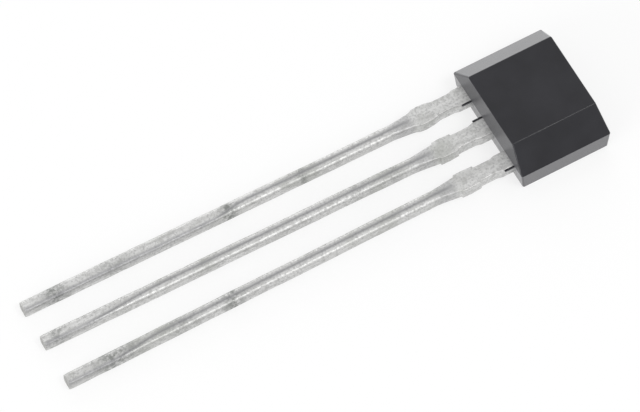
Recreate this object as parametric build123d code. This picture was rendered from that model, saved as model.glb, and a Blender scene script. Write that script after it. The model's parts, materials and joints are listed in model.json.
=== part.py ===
from build123d import *
import math
import os

# A three-lead hall effect sensor in a flat single-in-line package, lying on its back as it rests.
# Millimetres. While it is modelled, the body's lead end is the plane X = 0 and its mould parting plane
# is Z = 0: the leads run towards -X, the front (sensing) face looks to +Z, and the pins are spread in Y.
# At the end everything is turned by the small angle at which the sensor really lies, and set on Z = 0.

# Moulded body, as sharp corners before rounding.
body_width = 4.09
body_length = 3.02
front_depth = 0.78            # parting plane to front face
back_depth = 0.72             # parting plane to back face
chamfer_run = 0.74            # how far in from each side the front's two long chamfers reach
front_end_draft = 0.10        # how far each end leans in over the front half's depth
back_end_draft = 0.07         # the same over the back half's depth
back_side_draft = 0.03        # how far each side leans in over the back half's depth
body_corner_radius = 0.06     # the upright corners; larger than the edge radius that runs round them
body_edge_radius = 0.045

# Lead strip. Its front surface lies on the parting plane.
lead_pitch = 1.27
lead_length = 14.75           # body to tip
lead_thickness = 0.41
tail_width = 0.41
tail_edge_radius = 0.11
shank_edge_radius = 0.03

# Wider stretches near the body, as distances from the body and full widths.
root_width = 0.59
root_end = 0.38
neck_width = 0.50
neck_start = 0.50
dambar_near = 1.12            # the sheared stubs of the dam bar lie between these two distances
dambar_far = 1.72
dambar_width = 0.65
taper_start = 1.82
taper_end = 2.50

# How far each tail tip stands sideways from its nominal place: the strips are slightly bent.
supply_tip_lean = 0.17
ground_tip_lean = 0.17
output_tip_lean = -0.02

# Thin flash of moulding compound left at the parting plane, along one side of each lead's root.
flash_length = 0.32
flash_width = 0.055
flash_thickness = 0.05
flash_bite = 0.10             # how deep its inner end is buried in the body

# Lead frame inside the body. Posts and stem keep the roots' width.
post_length = 0.92            # inner posts of the outer leads, from the body's lead end
notch_start = 0.16            # notches that lock posts and stem in the moulding
notch_length = 0.22
notch_depth = 0.07
paddle_gap = 0.23             # from the posts' inner ends to the paddle
paddle_end_cover = 0.50       # moulding beyond the paddle at the far end
paddle_side_cover = 0.98      # moulding beside the paddle

# Hall die, its adhesive and the margins of the paddle that they leave bare.
die_end_margin = 0.20
die_side_margin = 0.43
die_thickness = 0.26
adhesive_thickness = 0.03
adhesive_margin = 0.07        # how far the adhesive shows around the die

# Bond wires: a ball on the die, a loop, and a stitch on the lead frame.
wire_diameter = 0.03
ball_diameter = 0.075
ball_height = 0.020
stitch_diameter = 0.060
stitch_height = 0.012
loop_height = 0.13            # loop's centre line above the die's face
loop_radius = 0.05
shoulder_reach = 0.30         # how far the loop runs level before it drops
pad_inset = 0.12              # bond pads to the die's near edge
pad_spacing = 0.42            # between neighbouring bond pads
stitch_inset = 0.15           # stitches to the posts' inner ends
outer_stitch_offset = 0.10    # outer stitches to their posts' centre lines, towards the middle

paddle_start = post_length + paddle_gap
paddle_end = body_length - paddle_end_cover
paddle_half_width = body_width / 2 - paddle_side_cover
die_start = paddle_start + die_end_margin
die_end = paddle_end - die_end_margin
die_half_width = paddle_half_width - die_side_margin
die_top = adhesive_thickness + die_thickness


def tapered_block(depth, end_draft, side_run):
    """Half of the body, from the parting plane to its outer face."""
    middle = body_length / 2
    parting = RectangleRounded(body_length, body_width, body_corner_radius)
    outer_size = (body_length - 2 * end_draft, body_width - 2 * side_run)
    outer = RectangleRounded(*outer_size, body_corner_radius)
    return loft([Pos(middle, 0, 0) * parting, Pos(middle, 0, depth) * outer], ruled=True)


def body_block():
    """The moulded body without its cavities, rounded on all edges but the parting line."""
    front = tapered_block(front_depth, front_end_draft, chamfer_run)
    back = tapered_block(-back_depth, back_end_draft, back_side_draft)
    block = front + back
    outlines = block.edges().group_by(Axis.Z)
    return fillet(outlines[0] + outlines[-1], body_edge_radius)


def flat_bar(start, end, half_width):
    """A stretch of the strip from one X to another, with its front surface on the parting plane."""
    middle = ((start + end) / 2, 0, -lead_thickness / 2)
    return Pos(*middle) * Box(end - start, 2 * half_width, lead_thickness)


def shank():
    """The wide stretches outside the body, from the body to where the taper starts."""
    outline = [
        (0, root_width / 2),
        (-root_end, root_width / 2),
        (-neck_start, neck_width / 2),
        (-dambar_near, neck_width / 2),
        (-dambar_near, dambar_width / 2),
        (-dambar_far, dambar_width / 2),
        (-dambar_far, neck_width / 2),
        (-taper_start, neck_width / 2),
    ]
    mirrored = [(x, -y) for x, y in reversed(outline)]
    plan = make_face(Polyline(*outline, *mirrored, close=True))
    return extrude(plan, amount=-lead_thickness)


def strip_section(distance, width, radius):
    """The strip's cross-section at a distance from the body."""
    plane = Plane(origin=(-distance, 0, -lead_thickness / 2), x_dir=(0, 1, 0), z_dir=(-1, 0, 0))
    return plane * RectangleRounded(width, lead_thickness, radius)


def tail(tip_lean):
    """The taper and the long narrow tail, which leans sideways by tip_lean at its cut end."""
    wide = strip_section(taper_start, neck_width, shank_edge_radius)
    narrow = strip_section(taper_end, tail_width, tail_edge_radius)
    taper = loft([wide, narrow])
    run = lead_length - taper_end
    direction = Vector(-run, tip_lean, 0)
    return taper + extrude(narrow, amount=direction.length, dir=direction.normalized())


def inner_bar(length):
    """A post or stem: the root's strip run on into the body, with a locking notch in each side."""
    bar = flat_bar(0, length, root_width / 2)
    tool = Box(notch_length, 2 * notch_depth, 2 * lead_thickness)
    middle = notch_start + notch_length / 2
    return bar - [Pos(middle, side * root_width / 2, -lead_thickness / 2) * tool for side in (-1, 1)]


def outer_lead(tip_lean):
    """Supply or output lead on its own centre line: tail, shank and inner post."""
    return inner_bar(post_length) + shank() + tail(tip_lean)


def ground_lead():
    """The middle lead, in one piece with the paddle that carries the die."""
    paddle = flat_bar(paddle_start, paddle_end, paddle_half_width)
    return inner_bar(paddle_start) + paddle + shank() + tail(ground_tip_lean)


def die_layer(margin, bottom, thickness):
    """A flat block under or at the die's outline, grown by margin on every side."""
    length = die_end - die_start + 2 * margin
    width = 2 * (die_half_width + margin)
    middle = ((die_start + die_end) / 2, 0, bottom + thickness / 2)
    return Pos(*middle) * Box(length, width, thickness)


def bond_wire(pad, stitch):
    """A wire from a pad on the die to a stitch on the lead frame; both are (x, y)."""
    span = Vector(stitch[0] - pad[0], stitch[1] - pad[1], 0)
    reach = span.normalized() * shoulder_reach
    top = die_top + loop_height
    route = [
        (pad[0], pad[1], die_top),
        (pad[0], pad[1], top),
        (pad[0] + reach.X, pad[1] + reach.Y, top),
        (stitch[0], stitch[1], loop_height),
        (stitch[0], stitch[1], 0),
    ]
    path = FilletPolyline(*route, radius=loop_radius)
    wire = sweep(Plane(route[0]) * Circle(wire_diameter / 2), path=path)
    upright = (Align.CENTER, Align.CENTER, Align.MIN)
    ball = Pos(*route[0]) * Cylinder(ball_diameter / 2, ball_height, align=upright)
    foot = Pos(*route[-1]) * Cylinder(stitch_diameter / 2, stitch_height, align=upright)
    return wire + ball + foot


def bond_wires():
    """The three bond wires by node name."""
    pad_x = die_start + pad_inset
    stitch_x = post_length - stitch_inset
    outer_y = lead_pitch - outer_stitch_offset
    return {
        "supply_bond_wire": bond_wire((pad_x, pad_spacing), (stitch_x, outer_y)),
        "ground_bond_wire": bond_wire((pad_x, 0), (stitch_x, 0)),
        "output_bond_wire": bond_wire((pad_x, -pad_spacing), (stitch_x, -outer_y)),
    }


def root_flash(lead_y, side):
    """Flash along one side (1 or -1) of the root of the lead at lead_y."""
    length = flash_length + flash_bite
    middle_y = lead_y + side * (root_width + flash_width) / 2
    middle = ((flash_bite - flash_length) / 2, middle_y, -flash_thickness / 2)
    return Pos(*middle) * Box(length, flash_width, flash_thickness)


def package_body(inner_pieces):
    """The moulding with its root flash, cut to fit everything that it was moulded around."""
    flash = [root_flash(lead_pitch, -1), root_flash(0, 1), root_flash(-lead_pitch, -1)]
    return body_block() + flash - inner_pieces


def sensor():
    """Every piece by node name, in the modelling frame."""
    pieces = {
        "supply_lead": Pos(0, lead_pitch, 0) * outer_lead(supply_tip_lean),
        "ground_lead": ground_lead(),
        "output_lead": Pos(0, -lead_pitch, 0) * outer_lead(output_tip_lean),
        "die_attach": die_layer(adhesive_margin, 0, adhesive_thickness),
        "hall_die": die_layer(0, adhesive_thickness, die_thickness),
    }
    pieces.update(bond_wires())
    pieces["package_body"] = package_body(list(pieces.values()))
    return pieces


def as_it_rests(pieces):
    """Turns the sensor onto its body's back edge and its three tips, with Z = 0 under it."""
    drop = back_depth - lead_thickness
    tilt = math.degrees(math.atan2(drop, lead_length + back_end_draft))
    turned = {name: Rot(0, -tilt, 0) * piece for name, piece in pieces.items()}
    boxes = [piece.bounding_box() for piece in turned.values()]
    middle_x = (min(box.min.X for box in boxes) + max(box.max.X for box in boxes)) / 2
    floor = min(box.min.Z for box in boxes)
    offset = Pos(-middle_x, 0, -floor)
    return {name: offset * piece for name, piece in turned.items()}


os.makedirs("parts", exist_ok=True)
for name, piece in as_it_rests(sensor()).items():
    piece.label = name
    export_step(piece, f"parts/{name}.step")
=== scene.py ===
"""The looks of a three-lead hall effect sensor, lying on its back on a white table.

Lengths in the tables below are millimetres in the sensor's own frame, before it is laid down: the body's
lead end is x = 0, the mould's parting plane is z = 0, the leads run to -x and the front looks to +z.
"""
import json
import math

import bmesh
import bpy
from mathutils import Matrix, Vector, noise


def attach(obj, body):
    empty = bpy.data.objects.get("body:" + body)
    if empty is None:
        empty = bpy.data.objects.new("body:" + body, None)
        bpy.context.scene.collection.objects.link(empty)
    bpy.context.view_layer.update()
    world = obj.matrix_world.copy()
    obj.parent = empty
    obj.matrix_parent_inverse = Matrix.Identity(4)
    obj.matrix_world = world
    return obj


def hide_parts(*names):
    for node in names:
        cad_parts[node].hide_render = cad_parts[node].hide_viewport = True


MM = 0.001

# Camera
CAMERA_AZIMUTH = -29.1
CAMERA_ELEVATION = 60.6
CAMERA_RANGE = 200 * MM
CAMERA_LENS = 384.2           # on a 36 mm sensor
AIM = Vector((0.259, 0.067, 0.600)) * MM   # from the middle of the footprint

# Sizes shared with the CAD model
BODY_LENGTH = 3.02
FRONT_DEPTH = 0.78
LEAD_PITCH = 1.27
LEAD_LENGTH = 14.75
LEAD_THICKNESS = 0.41
ROOT_WIDTH = 0.59
NECK_WIDTH = 0.50
DAMBAR_WIDTH = 0.65
TAIL_WIDTH = 0.41
POST_LENGTH = 0.92
PADDLE_START = 1.15
PADDLE_END = 2.52
PADDLE_WIDTH = 2.13
NOTCH_FROM = 0.16
NOTCH_TO = 0.38
NOTCH_DEPTH = 0.07
ROOT_END = 0.36               # outside the body, as distances from it
NECK_START = 0.52
NECK_MIDDLE = 1.00
DAMBAR_MIDDLE = 1.45
DAMBAR_FAR = 1.72
TAPER_START = 1.84
TAPER_MIDDLE = 2.12
TAPER_END = 2.50
TIP_LEANS = {"supply_lead": 0.17, "ground_lead": 0.17, "output_lead": -0.02}
LEAD_ROWS = {"supply_lead": LEAD_PITCH, "ground_lead": 0.0, "output_lead": -LEAD_PITCH}

# Lead mesh
SQUARE_EDGE = 0.030           # edge radius of stamped stretches
TAIL_EDGE = 0.105             # edge radius of the tinned tails
TAPER_EDGE = 0.06             # edge radius halfway down the taper
TAIL_CREASE = 0.022           # twice the depth of the line and the edges below the swell between them
SHEAR_STEP = 0.012            # length over which a stamped step changes width
STUB_TRIM = 0.02              # how much narrower a stub's ends are than its middle
TIP_FROM = 0.10               # the tails narrow slightly from here to the tip
TIP_TRIM = 0.012
TIN_START = 1.9               # the tin's unevenness begins here and is full after TIN_FADE
TIN_FADE = 0.8
STATION_STEP = 0.08
CORNER_STEPS = 5
FACE_STEPS = 8
CUT_RINGS = 4
SHARP_ANGLE = 32              # degrees

# The line along each tail's front: where it begins at the tip's lower edge and where it reaches the middle
LINE_STARTS = {"supply_lead": (8.6, 7.4), "ground_lead": (13.6, 10.8), "output_lead": (13.4, 11.6)}
LINE_EDGE = -0.14             # its place across the tail near the tip
LINE_MIDDLE = 0.012           # its place across the tail after that
CREASE_SHADE_HALF_WIDTH = 0.060
CUT_FROM = -14.74             # the dull cut end begins here
NO_LINE = 1.0                 # UV value that means far from any line

# Dark smudges on the tails: distance from the body, half length along the lead, strength
SMUDGES = {
    "supply_lead": [(13.70, 0.35, 1.0), (11.80, 0.50, 0.5), (8.00, 0.22, 1.0), (5.55, 0.12, 0.8)],
    "ground_lead": [(14.30, 0.30, 0.6), (4.30, 0.40, 0.4), (3.20, 0.25, 0.4)],
    "output_lead": [(13.20, 0.75, 0.9), (9.30, 0.35, 0.9), (11.00, 0.60, 0.4)],
}

# Studio
FLOOR_GLOW_SEEN = 0.75        # how much of the table's look is plain white to the camera
FLOOR_PAINT = 0.86
FLOOR_HALF_SIZE = 2.0         # metres
WORLD_STRENGTH = 0.76
# Name, azimuth and elevation in degrees, distance and size in metres, power in watts
SOFT_LIGHTS = (
    ("key", 30, 61, 0.40, 0.12, 0.42),
    ("end_fill", -72, 10, 0.40, 0.25, 1.20),
    ("back_fill", 165, 18, 0.40, 0.30, 0.35),
)


# ---------------------------------------------------------------- placing

def sensor_placement(record):
    """Matrix from the sensor's own frame, in millimetres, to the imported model's frame, in metres."""
    mounts = {mount["name"]: mount for mount in record["mounts"]}
    up = Vector(mounts["sensing_face"]["axis"]).normalized()
    along = -Vector(mounts["solder_tails"]["axis"]).normalized()
    across = up.cross(along)
    front = Vector(mounts["sensing_face"]["pos_m"])
    origin = front - up * FRONT_DEPTH * MM - along * BODY_LENGTH / 2 * MM
    turn = Matrix((along, across, up)).transposed().to_4x4()
    return Matrix.Translation(origin) @ turn @ Matrix.Scale(MM, 4)


# ---------------------------------------------------------------- lead meshes

def station_table(name):
    """Stretches of one lead from its inner end to its tip: (x, half width, edge radius, crease)."""
    root, neck = ROOT_WIDTH / 2, NECK_WIDTH / 2
    stub, tail = DAMBAR_WIDTH / 2, TAIL_WIDTH / 2
    edge = SQUARE_EDGE
    if name == "ground_lead":
        paddle = PADDLE_WIDTH / 2
        rows = [
            (PADDLE_END, paddle, edge, 0),
            (PADDLE_START, paddle, edge, 0),
            (PADDLE_START - SHEAR_STEP, root, edge, 0),
        ]
    else:
        rows = [(POST_LENGTH, root, edge, 0)]
    rows += [
        (NOTCH_TO + SHEAR_STEP, root, edge, 0),
        (NOTCH_TO, root - NOTCH_DEPTH, edge, 0),
        (NOTCH_FROM, root - NOTCH_DEPTH, edge, 0),
        (NOTCH_FROM - SHEAR_STEP, root, edge, 0),
        (-ROOT_END, root, edge, 0),
        (-NECK_START, neck, edge, 0),
        (-NECK_MIDDLE, neck, edge, 0),
    ]
    rows += stub_rows(name, neck, stub)
    rows += [
        (-TAPER_START, neck, edge, 0),
        (-TAPER_MIDDLE, (neck + tail) / 2, TAPER_EDGE, TAIL_CREASE),
        (-TAPER_END, tail, TAIL_EDGE, TAIL_CREASE),
        (-LEAD_LENGTH + TIP_FROM, tail, TAIL_EDGE, TAIL_CREASE),
        (-LEAD_LENGTH, tail - TIP_TRIM, TAIL_EDGE, TAIL_CREASE),
    ]
    return rows


def stub_rows(name, neck, stub):
    """The dam bar's sheared stubs: each lead's were cut a little differently."""
    edge = SQUARE_EDGE
    if name == "supply_lead":
        return [
            (-1.25, stub - STUB_TRIM, edge, 0),
            (-1.50, stub, edge, 0),
            (-DAMBAR_FAR, stub - STUB_TRIM, edge, 0),
        ]
    near = -1.12 if name == "ground_lead" else -1.08
    shoulder = neck + 0.01
    return [
        (near, shoulder, edge, 0),
        (near - SHEAR_STEP, stub - STUB_TRIM, edge, 0),
        (-DAMBAR_MIDDLE, stub, edge, 0),
        (-DAMBAR_FAR, stub - 0.01, edge, 0),
        (-DAMBAR_FAR - SHEAR_STEP, shoulder, edge, 0),
    ]


def stations(rows):
    """The table with stations added wherever two rows are further apart than the step."""
    result = []
    for row, after in zip(rows, rows[1:]):
        count = max(1, math.ceil(abs(row[0] - after[0]) / STATION_STEP))
        for k in range(count):
            share = k / count
            result.append(tuple(a + (b - a) * share for a, b in zip(row, after)))
    result.append(rows[-1])
    return result


def line_place(name, x):
    """Where the line along a lead's front lies across it, in millimetres from the lead's middle."""
    edge_until, middle_from = LINE_STARTS[name]
    share = min(1.0, max(0.0, (edge_until + x) / (edge_until - middle_from)))
    share = share * share * (3 - 2 * share)
    return LINE_EDGE + (LINE_MIDDLE - LINE_EDGE) * share


def section(half_width, half_height, radius, crease, line):
    """Points round one cross-section as (y, z) about its middle, with a shallow crease in front at line."""
    points = []
    corners = ((1, 1, 0), (-1, 1, 90), (-1, -1, 180), (1, -1, 270))
    for index, (side_y, side_z, start) in enumerate(corners):
        centre = (side_y * (half_width - radius), side_z * (half_height - radius))
        for k in range(CORNER_STEPS + 1):
            angle = math.radians(start + 90 * k / CORNER_STEPS)
            points.append((centre[0] + radius * math.cos(angle), centre[1] + radius * math.sin(angle)))
        next_y, next_z, _ = corners[(index + 1) % 4]
        end_angle = math.radians(start + 90)
        target = (next_y * (half_width - radius) + radius * math.cos(end_angle),
                  next_z * (half_height - radius) + radius * math.sin(end_angle))
        last = points[-1]
        for k in range(1, FACE_STEPS):
            share = k / FACE_STEPS
            points.append((last[0] + (target[0] - last[0]) * share, last[1] + (target[1] - last[1]) * share))
    shaped = []
    for y, z in points:
        side = half_width - line if y > line else half_width + line
        away = min(1.0, abs(y - line) / max(side, radius))
        swell = crease * (4 * away * (1 - away) - 1) * 0.5
        if z > 0:
            z += swell * (z / half_height) ** 2
        shaped.append((y, z))
    return shaped


def leaning_middle(name, x):
    """Where a lead's middle is in Y at x: its tail leans sideways towards the tip."""
    share = max(0.0, (-x - TAPER_END) / (LEAD_LENGTH - TAPER_END))
    return LEAD_ROWS[name] + TIP_LEANS[name] * share


def wobble(x, seed, scale, size):
    """A smooth random offset along the lead."""
    return size * noise.noise(Vector((x / scale, seed * 7.3, seed * 1.7)))


def lead_rings(name, seed):
    """Every ring of points of one lead, from its inner end to its tip, in the sensor's own frame."""
    rings = []
    for x, half_width, radius, crease in stations(station_table(name)):
        outside = min(1.0, max(0.0, (-x - TIN_START) / TIN_FADE))
        middle_y = leaning_middle(name, x) + outside * wobble(x, seed, 2.7, 0.018)
        middle_z = -LEAD_THICKNESS / 2 + outside * wobble(x, seed + 20, 2.1, 0.005)
        half_width += outside * wobble(x, seed + 40, 0.9, 0.006)
        line = line_place(name, x)
        ring = []
        for y, z in section(half_width, LEAD_THICKNESS / 2, radius, crease, line):
            tin = outside * 0.005 * noise.noise(Vector((x * 1.6, y * 5 + seed * 3, z * 5)))
            scale = 1 + tin / math.hypot(y, z)
            # The tips rest on the table, so the underside never swells below the strip's own back.
            ring.append(Vector((x, middle_y + y * scale, max(middle_z + z * scale, -LEAD_THICKNESS))))
        rings.append(ring)
    return rings


def strip_place(name, point):
    """UV of a point of a lead: x, and how far it is across from the line, or NO_LINE away from the front."""
    if point.z < -LEAD_THICKNESS / 2 or point.x > -1.0 or point.x < -LEAD_LENGTH:
        return point.x, NO_LINE
    return point.x, point.y - leaning_middle(name, point.x) - line_place(name, point.x)


def smudge_strength(name, x):
    """How dark a lead's smudges are at x, from 0 to 1."""
    strengths = [strength * math.exp(-((-x - distance) / half_length) ** 2)
                 for distance, half_length, strength in SMUDGES[name]]
    return min(1.0, sum(strengths))


def cut_end(ring, seed, outward):
    """Rings that close a cut end: a rough, slightly domed shear face."""
    middle = sum(ring, Vector()) / len(ring)
    rings = []
    for k in range(1, CUT_RINGS + 1):
        inset = 1 - k / (CUT_RINGS + 1)
        inner = []
        for point in ring:
            moved = middle + (point - middle) * inset
            rough = noise.noise(Vector((seed, moved.y * 14, moved.z * 14)))
            moved.x += outward * (0.010 * (1 - inset) + 0.012 * rough)
            inner.append(moved)
        rings.append(inner)
    return rings, middle + Vector((outward * 0.012, 0, 0))


def lead_mesh(name, seed, placement):
    """One lead as a closed mesh, with a UV layer of (distance along, distance across from the line)."""
    rings = lead_rings(name, seed)
    head, head_middle = cut_end(rings[0], seed, 1)
    foot, foot_middle = cut_end(rings[-1], seed + 5, -1)
    rings = list(reversed(head)) + rings + foot
    mesh = bpy.data.meshes.new(name + "_strip")
    bm = bmesh.new()
    uv = bm.loops.layers.uv.new("strip")
    smudge = bm.verts.layers.float.new("smudge")
    layers = [[bm.verts.new(placement @ point) for point in ring] for ring in rings]
    for layer, ring in zip(layers, rings):
        for vertex, point in zip(layer, ring):
            vertex[smudge] = smudge_strength(name, point.x)
    around = len(rings[0])
    for a, b, ring_a, ring_b in zip(layers, layers[1:], rings, rings[1:]):
        for k in range(around):
            n = (k + 1) % around
            face = bm.faces.new((a[k], a[n], b[n], b[k]))
            for loop, point in zip(face.loops, (ring_a[k], ring_a[n], ring_b[n], ring_b[k])):
                loop[uv].uv = strip_place(name, point)
    for layer, middle, ring in ((layers[0], head_middle, rings[0]), (layers[-1], foot_middle, rings[-1])):
        tip = bm.verts.new(placement @ middle)
        for k in range(around):
            face = bm.faces.new((layer[k], layer[(k + 1) % around], tip))
            for loop in face.loops:
                loop[uv].uv = (middle.x, NO_LINE)
    bmesh.ops.recalc_face_normals(bm, faces=bm.faces)
    bm.to_mesh(mesh)
    bm.free()
    mesh.polygons.foreach_set("use_smooth", [True] * len(mesh.polygons))
    mesh.set_sharp_from_angle(angle=math.radians(SHARP_ANGLE))
    return mesh


def add_lead(name, seed, placement, material):
    """The finished lead, in place of its CAD node."""
    piece = bpy.data.objects.new(name + "_strip", lead_mesh(name, seed, placement))
    bpy.context.collection.objects.link(piece)
    piece.data.materials.append(material)
    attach(piece, "root")
    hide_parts(name)
    return piece


# ---------------------------------------------------------------- materials

class Nodes:
    """A short way to write a node tree."""

    def __init__(self, name):
        self.material = bpy.data.materials.new(name)
        self.material.use_nodes = True
        self.tree = self.material.node_tree
        self.shader = self.tree.nodes["Principled BSDF"]

    def add(self, kind, **inputs):
        node = self.tree.nodes.new("ShaderNode" + kind)
        for key, value in inputs.items():
            socket = key.replace("_", " ")
            if socket in node.inputs:
                self.set(node.inputs[socket], value)
            else:
                setattr(node, key, value)
        return node

    def set(self, socket, value):
        if isinstance(value, bpy.types.NodeSocket):
            self.tree.links.new(value, socket)
        else:
            socket.default_value = value

    def finish(self, **inputs):
        for key, value in inputs.items():
            self.set(self.shader.inputs[key.replace("_", " ")], value)
        return self.material

    def millimetres(self, stretch=(1, 1, 1)):
        """Object coordinates in millimetres, stretched along each axis."""
        where = self.add("TexCoord")
        scale = self.add("Mapping", Scale=tuple(1000 * s for s in stretch))
        self.tree.links.new(where.outputs["Object"], scale.inputs["Vector"])
        return scale.outputs["Vector"]

    def noise(self, vector, scale, detail=4.0, roughness=0.55):
        node = self.add("TexNoise", Vector=vector, Scale=scale, Detail=detail, Roughness=roughness)
        return node.outputs["Fac"]

    def span(self, value, low, high, from_low=0.3, from_high=0.7):
        node = self.add("MapRange", Value=value)
        limits = {"From Min": from_low, "From Max": from_high, "To Min": low, "To Max": high}
        for key, number in limits.items():
            node.inputs[key].default_value = number
        return node.outputs["Result"]

    def blend(self, factor, low, high):
        node = self.add("Mix", data_type="RGBA")
        self.set(node.inputs["Factor"], factor)
        self.set(node.inputs["A"], (*low, 1) if isinstance(low, tuple) else low)
        self.set(node.inputs["B"], (*high, 1) if isinstance(high, tuple) else high)
        return node.outputs["Result"]

    def maths(self, operation, a, b):
        node = self.tree.nodes.new("ShaderNodeMath")
        node.operation = operation
        self.set(node.inputs[0], a)
        self.set(node.inputs[1], b)
        return node.outputs[0]

    def bump(self, height, strength, distance, normal=None):
        node = self.add("Bump", Height=height, Strength=strength, Distance=distance * MM)
        if normal is not None:
            self.tree.links.new(normal, node.inputs["Normal"])
        return node.outputs["Normal"]


def moulding_material():
    """Black filled epoxy as it comes from the mould: dark, fine-grained, with a satin skin."""
    n = Nodes("moulding_compound")
    where = n.millimetres()
    cloud = n.noise(where, 1.1, 3)
    grain = n.noise(where, 26, 5, 0.6)
    colour = n.blend(n.span(cloud, 0, 1), (0.008, 0.008, 0.011), (0.013, 0.013, 0.017))
    rough = n.maths("ADD", n.span(cloud, 0.30, 0.36), n.span(grain, -0.03, 0.03))
    normal = n.bump(grain, 0.30, 0.006)
    n.shader.inputs["Sheen Tint"].default_value = (0.98, 0.98, 1.0, 1)
    return n.finish(Base_Color=colour, Roughness=rough, Normal=normal, Specular_IOR_Level=0.4,
                    Sheen_Weight=1.0, Sheen_Roughness=0.34)


def tin_material():
    """Dull tin over copper: specks and smudges, a darker soft line of painted shade along the crease in each
    tail's front, and painted shade on the taper.
    """
    n = Nodes("tinned_lead")
    where = n.millimetres()
    streaks = n.noise(n.millimetres((0.35, 6, 6)), 1.6, 4)
    cloud = n.noise(where, 0.75, 3)
    handled = n.maths("MULTIPLY", n.add("Attribute", attribute_name="smudge").outputs["Fac"],
                      n.span(n.noise(where, 6.5, 4, 0.7), 0.1, 1, 0.42, 0.58))
    specks = n.noise(where, 15, 3, 0.6)
    mottle = n.noise(where, 4.5, 4, 0.6)
    place = n.tree.nodes.new("ShaderNodeSeparateXYZ")
    n.tree.links.new(n.add("UVMap", uv_map="strip").outputs["UV"], place.inputs[0])
    distance = n.maths("ABSOLUTE", place.outputs["Y"], 0.0)
    across = n.maths("ADD", distance, n.span(mottle, -0.014, 0.014))
    # Mask of the darker line along the crease in each tail's front: painted shade.
    line = n.span(across, 1, 0, CREASE_SHADE_HALF_WIDTH * 0.1, CREASE_SHADE_HALF_WIDTH * 1.4)
    # The painted shade line fades in after the taper, and the taper itself is painted a little darker than
    # the pads, as shade on its tilted faces.
    along = n.span(place.outputs["X"], 0, 1, -1.75, -2.15)
    # Mask of the taper's painted shade.
    taper_shade = n.maths("MULTIPLY", n.span(place.outputs["X"], 0, 1, -1.80, -1.95),
                    n.span(place.outputs["X"], 1, 0, -2.35, -2.75))
    bright = n.blend(n.span(streaks, 0, 1), (0.60, 0.60, 0.59), (0.74, 0.74, 0.735))
    speckled = n.blend(n.span(specks, 0, 0.65, 0.48, 0.68), bright, (0.38, 0.38, 0.38))
    mottled = n.blend(n.span(mottle, 0, 0.60, 0.50, 0.66), speckled, (0.45, 0.45, 0.44))
    smudged = n.blend(n.span(cloud, 0, 0.45, 0.55, 0.70), mottled, (0.38, 0.39, 0.36))
    marked = n.blend(n.maths("MULTIPLY", handled, 0.85), smudged, (0.20, 0.21, 0.20))
    # Painted shade: the line along the crease is laid in as darker colour.
    crease_shade_share = n.maths("MULTIPLY", n.maths("MULTIPLY", line, along), 0.75)
    crease_shaded = n.blend(crease_shade_share, marked, (0.25, 0.25, 0.26))
    # Painted shade: the taper is laid in as darker colour.
    taper_shaded = n.blend(n.maths("MULTIPLY", taper_shade, 0.35), crease_shaded, (0.32, 0.32, 0.33))
    cut = n.span(place.outputs["X"], 1, 0, CUT_FROM - 0.02, CUT_FROM)
    colour = n.blend(n.maths("MULTIPLY", cut, 0.8), taper_shaded, (0.30, 0.30, 0.29))
    rough = n.maths("ADD", n.span(streaks, 0.50, 0.60), n.span(specks, -0.05, 0.06))
    normal = n.bump(specks, 0.25, 0.006, n.bump(mottle, 0.35, 0.014))
    return n.finish(Base_Color=colour, Metallic=1.0, Roughness=rough, Normal=normal)


def plain_material(name, low, high, metallic, rough, scale):
    """A hidden piece's finish: slight variation of colour and roughness, with a fine grain."""
    n = Nodes(name)
    cloud = n.noise(n.millimetres(), scale, 4)
    return n.finish(Base_Color=n.blend(n.span(cloud, 0, 1), low, high), Metallic=metallic,
                    Roughness=n.span(cloud, rough, rough + 0.1), Normal=n.bump(cloud, 0.2, 0.003))


# ---------------------------------------------------------------- studio

def add_camera():
    """The photograph's point of view, from a long lens."""
    azimuth, elevation = math.radians(CAMERA_AZIMUTH), math.radians(CAMERA_ELEVATION)
    towards = Vector((math.sin(azimuth) * math.cos(elevation), -math.cos(azimuth) * math.cos(elevation),
                      math.sin(elevation)))
    data = bpy.data.cameras.new("camera")
    data.lens = CAMERA_LENS
    data.sensor_width = 36
    data.clip_start = 0.02
    camera = bpy.data.objects.new("camera", data)
    camera.location = AIM + towards * CAMERA_RANGE
    camera.rotation_euler = (-towards).to_track_quat("-Z", "Y").to_euler()
    bpy.context.collection.objects.link(camera)
    bpy.context.scene.camera = camera


def add_soft_light(name, azimuth, elevation, distance, size, power):
    """A square soft box that looks at the middle of the sensor."""
    a, e = math.radians(azimuth), math.radians(elevation)
    towards = Vector((math.sin(a) * math.cos(e), -math.cos(a) * math.cos(e), math.sin(e)))
    data = bpy.data.lights.new(name, "AREA")
    data.size = size
    data.energy = power
    light = bpy.data.objects.new(name, data)
    light.location = towards * distance
    light.rotation_euler = (-towards).to_track_quat("-Z", "Y").to_euler()
    bpy.context.collection.objects.link(light)


def add_world(strength):
    """An even pale surround, white where it is seen."""
    world = bpy.data.worlds.new("surround")
    world.use_nodes = True
    tree = world.node_tree
    background = tree.nodes["Background"]
    background.inputs["Color"].default_value = (1, 1, 1, 1)
    path = tree.nodes.new("ShaderNodeLightPath")
    mix = tree.nodes.new("ShaderNodeMapRange")
    tree.links.new(path.outputs["Is Camera Ray"], mix.inputs["Value"])
    mix.inputs["To Min"].default_value = strength
    mix.inputs["To Max"].default_value = 1.0
    tree.links.new(mix.outputs["Result"], background.inputs["Strength"])
    bpy.context.scene.world = world


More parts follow.
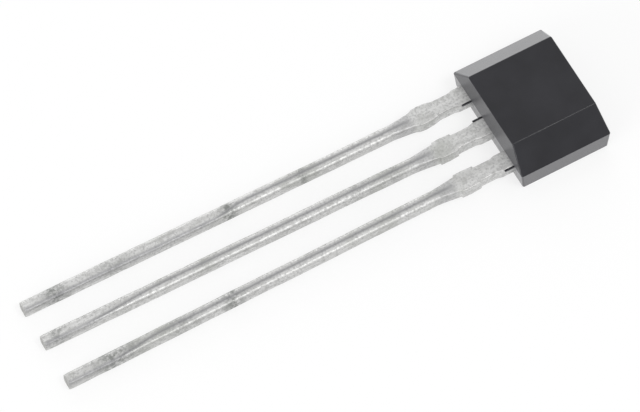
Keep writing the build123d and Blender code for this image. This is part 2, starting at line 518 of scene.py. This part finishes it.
def add_floor(size):
    """White table: it shines white to the camera and in reflections, and keeps a soft shadow."""
    mesh = bpy.data.meshes.new("table")
    corners = [(-size, -size, 0), (size, -size, 0), (size, size, 0), (-size, size, 0)]
    mesh.from_pydata(corners, [], [(0, 1, 2, 3)])
    floor = bpy.data.objects.new("table", mesh)
    bpy.context.collection.objects.link(floor)
    material = bpy.data.materials.new("white_table")
    material.use_nodes = True
    tree = material.node_tree
    tree.nodes.clear()
    path = tree.nodes.new("ShaderNodeLightPath")
    painted = tree.nodes.new("ShaderNodeBsdfDiffuse")
    painted.inputs["Color"].default_value = (FLOOR_PAINT, FLOOR_PAINT, FLOOR_PAINT, 1)
    glow = tree.nodes.new("ShaderNodeEmission")
    seen = tree.nodes.new("ShaderNodeMath")
    seen.operation = "MULTIPLY"
    seen.inputs[1].default_value = FLOOR_GLOW_SEEN
    tree.links.new(path.outputs["Is Camera Ray"], seen.inputs[0])
    share = seen.outputs[0]
    for ray in ("Is Glossy Ray", "Is Transmission Ray"):
        larger = tree.nodes.new("ShaderNodeMath")
        larger.operation = "MAXIMUM"
        tree.links.new(share, larger.inputs[0])
        tree.links.new(path.outputs[ray], larger.inputs[1])
        share = larger.outputs[0]
    mix = tree.nodes.new("ShaderNodeMixShader")
    tree.links.new(share, mix.inputs[0])
    tree.links.new(painted.outputs[0], mix.inputs[1])
    tree.links.new(glow.outputs[0], mix.inputs[2])
    output = tree.nodes.new("ShaderNodeOutputMaterial")
    tree.links.new(mix.outputs[0], output.inputs["Surface"])
    mesh.materials.append(material)


# ---------------------------------------------------------------- build

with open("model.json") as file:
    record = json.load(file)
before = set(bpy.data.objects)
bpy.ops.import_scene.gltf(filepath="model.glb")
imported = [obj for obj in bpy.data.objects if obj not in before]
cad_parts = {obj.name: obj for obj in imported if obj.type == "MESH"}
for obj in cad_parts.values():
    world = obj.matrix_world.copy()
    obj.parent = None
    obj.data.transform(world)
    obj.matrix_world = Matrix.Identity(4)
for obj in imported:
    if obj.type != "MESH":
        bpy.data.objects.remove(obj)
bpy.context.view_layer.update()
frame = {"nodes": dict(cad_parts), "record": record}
placement = sensor_placement(frame["record"])

tin = tin_material()
for number, lead in enumerate(LEAD_ROWS):
    add_lead(lead, number + 1, placement, tin)

node_materials = {
    "package_body": moulding_material(),
    "hall_die": plain_material("silicon", (0.10, 0.11, 0.15), (0.16, 0.17, 0.22), 0.3, 0.18, 3),
    "die_attach": plain_material("adhesive", (0.50, 0.50, 0.48), (0.60, 0.60, 0.58), 0.0, 0.5, 12),
}
gold = plain_material("gold_wire", (0.80, 0.58, 0.22), (0.90, 0.68, 0.30), 1.0, 0.2, 20)
for name, node in frame["nodes"].items():
    if name.endswith("bond_wire"):
        node_materials[name] = gold
    if name in node_materials:
        node.data.materials.clear()
        node.data.materials.append(node_materials[name])

add_camera()
for light in SOFT_LIGHTS:
    add_soft_light(*light)
add_world(WORLD_STRENGTH)
add_floor(FLOOR_HALF_SIZE)
bpy.context.scene.view_settings.view_transform = "Standard"
